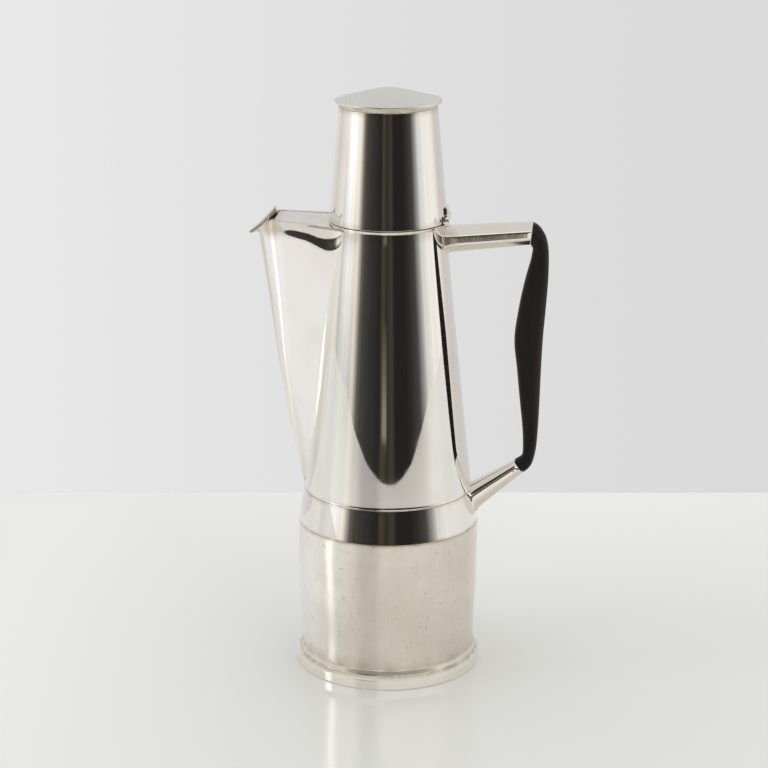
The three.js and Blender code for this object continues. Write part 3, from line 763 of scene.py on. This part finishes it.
def tube(name, arm, section, body_stop, nodes):
    """Tapered silver tube from inside the pot wall to the joint plane of the grip."""
    start, end, direction = arm_line(arm)
    up = np.array((-direction[2], 0.0, direction[0]))
    across = np.array((section[0] - section[2], 0.0, section[1] - section[3]))
    lean = (across @ direction) / (across @ up)
    length = float(np.linalg.norm(end - start))
    ring = arm_outline(arm["round"])
    root = arm["root"] / length
    near_root, free = np.linspace(body_stop, root + 0.12, 14), np.linspace(root + 0.16, 1.0, 18)
    stations = [(s, 0.0) for s in (*near_root, *free)]
    stations += [(1.0, 0.12), (1.0, 0.4), (1.0, ARM_WALL)]
    stations += [(s, ARM_WALL) for s in np.linspace(0.995, body_stop, 4)]
    rows = []
    for s, inset in stations:
        flare = ARM_FLARE * math.exp(-max(0.0, length * s - arm["root"]) / ARM_FLARE_RUN)
        radius = arm_radius(arm, s) - inset + flare
        tilt = lean * max(0.0, (s - 0.6) / 0.4)
        push = 0.0 if inset < 0.1 or inset > 0.5 else 0.1
        centre = start + direction * (length * s - 0.1 + push)
        rows.append([centre + (up + direction * tilt) * radius * rise + np.array((0, radius * side, 0))
                     for side, rise in ring])
    points = [pot_point(*p) for row in rows for p in row]
    faces = grid_faces(len(rows), len(ring), wrap_rows=True, wrap_columns=True)
    new_mesh(name, points, faces, "pot", arm_silver, nodes)


def build_grip():
    """Carved grip lofted through its sections, slightly squared, ending flush in both tubes."""
    angles = np.linspace(0, 2 * math.pi, GRIP_FACETS, endpoint=False)
    rows = []
    for ox, oz, ix, iz, half in smooth_line(GRIP, 8):
        centre = np.array(((ox + ix) / 2, 0.0, (oz + iz) / 2))
        reach = np.array(((ox - ix) / 2, 0.0, (oz - iz) / 2))
        row = []
        for a in angles:
            c, s = math.cos(a), math.sin(a)
            scale = (abs(c) ** GRIP_POWER + abs(s) ** GRIP_POWER) ** (-1 / GRIP_POWER)
            row.append(centre + reach * s * scale + np.array((0, half * c * scale, 0)))
        rows.append(row)

    def cap(row):
        centre = np.mean(row, axis=0)
        return [centre + (p - centre) * 0.93 for p in row]

    rows = [cap(rows[0]), *rows, cap(rows[-1])]
    points = [pot_point(*p) for row in rows for p in row]
    faces = grid_faces(len(rows), GRIP_FACETS, wrap_columns=True)
    faces += [tuple(range(GRIP_FACETS - 1, -1, -1)), tuple(range(len(points) - GRIP_FACETS, len(points)))]
    new_mesh("grip_wood", points, faces, "pot", wood, ("handle_grip",))


def cross_pin(name, arm, nodes):
    """Domed rivet head at each side of the tube, on one pin."""
    start, end, direction = arm_line(arm)
    at = end - direction * PIN_BACK
    reach = arm_radius(arm, 1 - PIN_BACK / float(np.linalg.norm(end - start))) - 0.02
    profile = [(0.001, -reach), (0.6, -reach + 0.05), (0.95, -reach + 0.22), (1.0, -reach + 0.5),
               (1.0, reach - 0.5), (0.95, reach - 0.22), (0.6, reach - 0.05), (0.001, reach)]
    angles = np.linspace(0, 2 * math.pi, 24, endpoint=False)
    points = [pot_point(at[0] + r * math.cos(a), y, at[2] + r * math.sin(a))
              for r, y in profile for a in angles]
    new_mesh(name, points, grid_faces(len(profile), 24, wrap_columns=True), "pot", inside_silver,
             nodes)


# ---- lid ----
def build_lid():
    notch = HINGE.z / MM + KNUCKLE_R + 0.3
    share = (notch - LID_LOW[1]) / (LID_HIGH[1] - LID_LOW[1])
    low, high = np.array(LID_LOW), np.array(LID_HIGH)
    wall_line = [low + (high - low) * t for t in (0, 0.02, share, *np.linspace(0.15, 1, 8))]

    def beside_hinge(radius, z, angle):
        return not (math.cos(angle) > 0 and z < notch and abs(radius * math.sin(angle)) < KNUCKLE_HALF + 0.3)

    sheet_with_opening("lid_side", wall_line, "lid", lid_silver, ("lid_wall",), beside_hinge)
    outline = rounded(LID_EDGE_OUTLINE, closed=False)
    outline += [tuple(p) for p in smooth_line(LID_SLOPE, 5)[1:]]
    outline += [(1.2, 279.78), (0.001, 279.82)]
    outline += [(0.001, LID_APEX_Z - 1.1), (LID_DISC_R - 3.0, LID_RIM_Z - 0.6)]
    turned("lid_cap", outline, "lid", lid_top_silver, ("lid_top",))
    turned("lid_inner_ring", rounded(BEZEL_OUTLINE), "lid", inside_silver, ("lid_bezel",))


# ---- hinge ----
def barrel(y0, y1, radius=KNUCKLE_R):
    """Round bar along the hinge line with softened ends."""
    angles = np.linspace(0, 2 * math.pi, 32, endpoint=False)
    profile = [(0.001, y0), (radius - 0.25, y0), (radius - 0.07, y0 + 0.07), (radius, y0 + 0.25),
               (radius, y1 - 0.25), (radius - 0.07, y1 - 0.07), (radius - 0.25, y1), (0.001, y1)]
    points = [(HINGE.x + r * math.cos(a) * MM, y * MM, HINGE.z + r * math.sin(a) * MM)
              for r, y in profile for a in angles]
    return points, grid_faces(len(profile), 32, wrap_columns=True)


def leaf(inner, z0, z1, y0, y1):
    """Curved plate that lies on the outside of the neck or the lid."""
    up, across = 4, 9
    points = [pot_point(math.sqrt((inner(z) + thick) ** 2 - y * y), y, z)
              for thick in (0.0, LEAF_THICK)
              for z in np.linspace(z0, z1, up) for y in np.linspace(y0, y1, across)]
    return points, plate_faces(up, across)


def joined(name, shapes, body, look, slot, nodes, edge=0.0):
    """One piece from several (points, faces), with its edges bevelled by that many millimetres."""
    points, faces = [], []
    for some, quads in shapes:
        faces += [tuple(len(points) + i for i in f) for f in quads]
        points += some
    piece = new_mesh(name, points, faces, body, look, nodes)
    if edge:
        bevel(piece, edge)


def build_hinge():
    z = HINGE.z / MM
    low, edge, half = NECK_TOP[1] + 0.6, KNUCKLE_MID + 0.4, KNUCKLE_HALF - 0.1

    def neck(_):
        return RIM_R + LEAF_GAP

    def lid_wall(height):
        return float(np.interp(height, (LID_LOW[1], LID_HIGH[1]), (LID_LOW[0], LID_HIGH[0]))) + LEAF_GAP

    joined("hinge_outer", [
        barrel(-KNUCKLE_HALF, -KNUCKLE_MID - 0.3), barrel(KNUCKLE_MID + 0.3, KNUCKLE_HALF),
        leaf(neck, low, z - 0.3, -half, -edge), leaf(neck, low, z - 0.3, edge, half),
        leaf(neck, low, z - KNUCKLE_R - 0.1, -edge - 0.4, edge + 0.4),
    ], "pot", arm_silver, "silver", ("hinge_leaf_body",), 0.12)
    foot = z + KNUCKLE_R + 0.3
    joined("hinge_centre", [
        barrel(-KNUCKLE_MID, KNUCKLE_MID), leaf(lid_wall, foot, z + 5.4, -5.0, 5.0),
        leaf(lambda _: lid_wall(foot), z, foot + 0.6, -KNUCKLE_MID, KNUCKLE_MID),
    ], "lid", arm_silver, "silver", ("hinge_leaf_lid",), 0.12)
    joined("hinge_axle", [barrel(-KNUCKLE_HALF - 0.4, KNUCKLE_HALF + 0.4, 0.6)], "pot", inside_silver,
           "silver_inside", ("hinge_pin",))


# ---- set ----
TABLE_BACK = 0.245  # metres from the pot's axis
TABLE_FRONT = 0.93
TABLE_CURVE = 0.30  # the front edge is bowed: it comes this much nearer at a metre to the side
TABLE_SIDE = 1.2
TABLE_STEPS = 24
# grey for painted shade on the table near the pot and to its right
TABLE_PAINTED_SHADE = (0.875, 0.88, 0.865, 1)
TABLE_PALE = (0.985, 0.985, 0.985, 1)
TABLE_WARM = (0.985, 0.955, 0.93, 1)


def build_table():
    """Glossy white top, straight at the back and bowed in front, where its edge shows in the pot."""
    made, tree, shader = material("table_white")
    place = object_place(tree)
    spot = split(tree, place)
    # painted light and shade: the top is painted paler to the left, at the back and far right, and grey near
    # the pot
    left = remap(tree, spot["X"], -0.04, -0.20, 0.0, 1.0)
    back = remap(tree, spot["Y"], 0.0, TABLE_BACK, 0.0, 0.95)
    far_right = remap(tree, spot["X"], 0.10, 0.40, 0.0, 0.4)
    pale = calc(tree, "MAXIMUM", calc(tree, "MAXIMUM", left, back), far_right)
    pale = calc(tree, "ADD", pale, remap(tree, noise(tree, place, 3.0, 3.0), 0.3, 0.7, -0.04, 0.04))
    near_edge = remap(tree, spot["Y"], -0.22, -0.45, 0.0, 1.0)
    top = blend_colour(tree, near_edge, blend_colour(tree, pale, TABLE_PAINTED_SHADE, TABLE_PALE), TABLE_WARM)
    tree.links.new(top, shader.inputs["Base Color"])
    rough = remap(tree, noise(tree, place, 900.0, 2.0), 0.3, 0.7, 0.10, 0.16)
    tree.links.new(rough, shader.inputs["Roughness"])
    shader.inputs["Specular IOR Level"].default_value = 0.5
    points = []
    for i in range(TABLE_STEPS + 1):
        for j in range(TABLE_STEPS + 1):
            side = -TABLE_SIDE + 2 * TABLE_SIDE * j / TABLE_STEPS
            front = TABLE_FRONT - TABLE_CURVE * side**2
            depth = -front + (TABLE_BACK + front) * i / TABLE_STEPS
            points.append(AXIS + AWAY * depth + RIGHT * side)
    mesh = bpy.data.meshes.new("table")
    mesh.from_pydata([tuple(p) for p in points], [], grid_faces(TABLE_STEPS + 1, TABLE_STEPS + 1))
    mesh.update()
    table = bpy.data.objects.new("table", mesh)
    bpy.context.scene.collection.objects.link(table)
    table.data.materials.append(made)


SURROUND = [
    # direction in degrees round the pot, 0 towards the viewer and positive to the right; brightness; warmth
    (-180, 0.76, 0.0), (-150, 0.76, 0.0), (-138, 0.70, 0.2), (-126, 0.66, 0.4), (-112, 0.76, 0.4),
    (-102, 0.84, 0.3), (-95, 0.95, 0.0), (-88, 1.20, 0.0), (-76, 1.16, 0.0), (-68, 0.98, 0.3),
    (-61, 0.84, 0.6), (-56, 0.46, 0.8), (-51, 0.12, 1.0), (-44, 0.058, 0.8), (-32, 0.036, 0.6),
    (-14, 0.020, 1.0),
    (-11, 0.050, 2.4), (-6, 0.046, 2.4), (-3, 0.026, 1.5), (3, 0.045, 1.0), (7, 0.042, 0.8), (11, 0.017, 1.0),
    (30, 0.018, 1.0), (40, 0.034, 0.6), (50, 0.062, 0.4), (55, 0.20, 0.3), (60, 0.37, 0.2), (67, 0.71, 0.1),
    (80, 0.88, 0.2), (104, 0.92, 0.3), (124, 0.62, 0.4), (152, 0.64, 0.0),
]
WARM = np.array((0.10, 0.0, -0.14))
PEAK = 1.2  # brightest value in SURROUND, which the colour ramp holds as 1
# Windows are (start, full, fade, end): directions in degrees as above, heights from -1 down to 1 up.
LEFT_BOX = (-104.0, -96.0, -64.0, -58.0)
STRIP_DIRECTIONS = (-88.0, -85.0, -78.0, -75.0)
STRIP_HEIGHTS = (0.24, 0.28, 0.42, 0.55)
STRIP_LIGHT = (4.0, 4.0, 4.0, 1)
PATCH_DIRECTIONS = (-10.5, -8.5, -3.5, -1.5)
PATCH_HEIGHTS = (-0.102, -0.098, -0.088, -0.055)
PATCH_COLOUR = (0.24, 0.215, 0.17, 1)
DARK_LEFT = (-46.0, -36.0, -18.0, -8.0)
OVERHEAD = (0.67, 0.67, 0.655, 1)
GLARE = (1.15, 1.13, 1.08, 1)
BACKDROP_RIGHT = (0.695, 0.695, 0.70, 1)
BACKDROP_LEFT = (0.83, 0.83, 0.84, 1)
DIFFUSE_STRENGTH = 1.38  # soft light on the table and the wood, against what the silver mirrors


def within(tree, value, window):
    """1 inside a window and 0 outside it, with soft sides."""
    start, full, fade, end = window
    return calc(tree, "MINIMUM", remap(tree, value, start, full, 0.0, 1.0),
                remap(tree, value, fade, end, 1.0, 0.0))


def build_surroundings():
    """Pale backdrop for the camera; for reflections a studio: dim room ahead, soft boxes at the sides."""
    world = bpy.data.worlds.new("studio")
    bpy.context.scene.world = world
    world.use_nodes = True
    tree = world.node_tree
    tree.nodes.clear()
    way = node(tree, "ShaderNodeTexCoord").outputs["Generated"]

    def along(axis):
        made = node(tree, "ShaderNodeVectorMath", {0: way, 1: tuple(axis)}, operation="DOT_PRODUCT")
        return made.outputs["Value"]

    front, side = along(-AWAY), along(RIGHT)
    height = split(tree, way)["Z"]
    angle = calc(tree, "MULTIPLY", calc(tree, "ARCTAN2", side, front), 180 / math.pi)
    ramp = node(tree, "ShaderNodeValToRGB", {"Fac": remap(tree, angle, -180.0, 180.0, 0.0, 1.0)})
    band = ramp.color_ramp
    while len(band.elements) > 1:
        band.elements.remove(band.elements[-1])
    for index, (degrees, value, warmth) in enumerate(SURROUND):  # a ramp takes 32 stops
        element = band.elements[0] if index == 0 else band.elements.new((degrees + 180) / 360)
        element.position = (degrees + 180) / 360
        element.color = (*(value / PEAK * (1 + WARM * warmth)), 1)

    beyond = calc(tree, "MAXIMUM", remap(tree, height, -0.12, -0.04, 0.40, 0.0),
                  remap(tree, height, 0.0, 0.05, 0.0, 0.42))
    falling = calc(tree, "MULTIPLY", beyond, within(tree, angle, LEFT_BOX))
    strength = calc(tree, "MULTIPLY", calc(tree, "SUBTRACT", 1.0, falling), PEAK)
    streaks = noise(tree, node(tree, "ShaderNodeCombineXYZ", {"X": angle}).outputs["Vector"], 0.28, 4.0, 0.6)
    strength = calc(tree, "MULTIPLY", strength, remap(tree, streaks, 0.3, 0.7, 0.84, 1.14))
    around = scale_colour(tree, ramp.outputs["Color"], strength)

    patch = calc(tree, "MULTIPLY", within(tree, angle, PATCH_DIRECTIONS), within(tree, height, PATCH_HEIGHTS))
    around = blend_colour(tree, patch, around, PATCH_COLOUR)
    dark_left = calc(tree, "MULTIPLY", within(tree, angle, DARK_LEFT),
                     remap(tree, height, 0.55, 0.70, 1.0, 0.0))
    rise = calc(tree, "MULTIPLY", remap(tree, height, 0.11, 0.19, 0.0, 1.0),
                calc(tree, "SUBTRACT", 1.0, dark_left))
    glare = calc(tree, "MULTIPLY", remap(tree, height, 0.36, 0.55, 1.0, 0.0),
                 remap(tree, front, 0.0, 0.5, 0.0, 1.0))
    room = blend_colour(tree, rise, around, blend_colour(tree, glare, OVERHEAD, GLARE))
    strip = calc(tree, "MULTIPLY", within(tree, angle, STRIP_DIRECTIONS), within(tree, height, STRIP_HEIGHTS))
    studio = blend_colour(tree, strip, room, STRIP_LIGHT)

    path = node(tree, "ShaderNodeLightPath")
    leftward = calc(tree, "POWER", remap(tree, side, 0.22, -0.20, 0.0, 1.0), 1.6)
    backdrop = blend_colour(tree, leftward, BACKDROP_RIGHT, BACKDROP_LEFT)
    shade = node(tree, "ShaderNodeBackground", {
        "Color": blend_colour(tree, path.outputs["Is Camera Ray"], studio, backdrop),
        "Strength": remap(tree, path.outputs["Is Diffuse Ray"], 0.0, 1.0, 1.0, DIFFUSE_STRENGTH),
    })
    out = node(tree, "ShaderNodeOutputWorld")
    tree.links.new(shade.outputs[0], out.inputs["Surface"])


def finish_cad_nodes():
    """The pieces that stay as the CAD made them get the dull inside silver."""
    for name in ("base_disc", "strainer_plate"):
        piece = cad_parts[name]
        piece.data.materials.clear()
        piece.data.materials.append(inside_silver)


build_body()
build_cone()
build_spout()
build_cover()
build_lip()
tube("arm_upper", UPPER_ARM, GRIP[0], 0.06, ("upper_socket",))
tube("arm_lower", LOWER_ARM, GRIP[-1], 0.10, ("lower_socket",))
build_grip()
cross_pin("pin_upper", UPPER_ARM, ("upper_grip_pin",))
cross_pin("pin_lower", LOWER_ARM, ("lower_grip_pin",))
build_lid()
build_hinge()
finish_cad_nodes()
build_table()
build_surroundings()
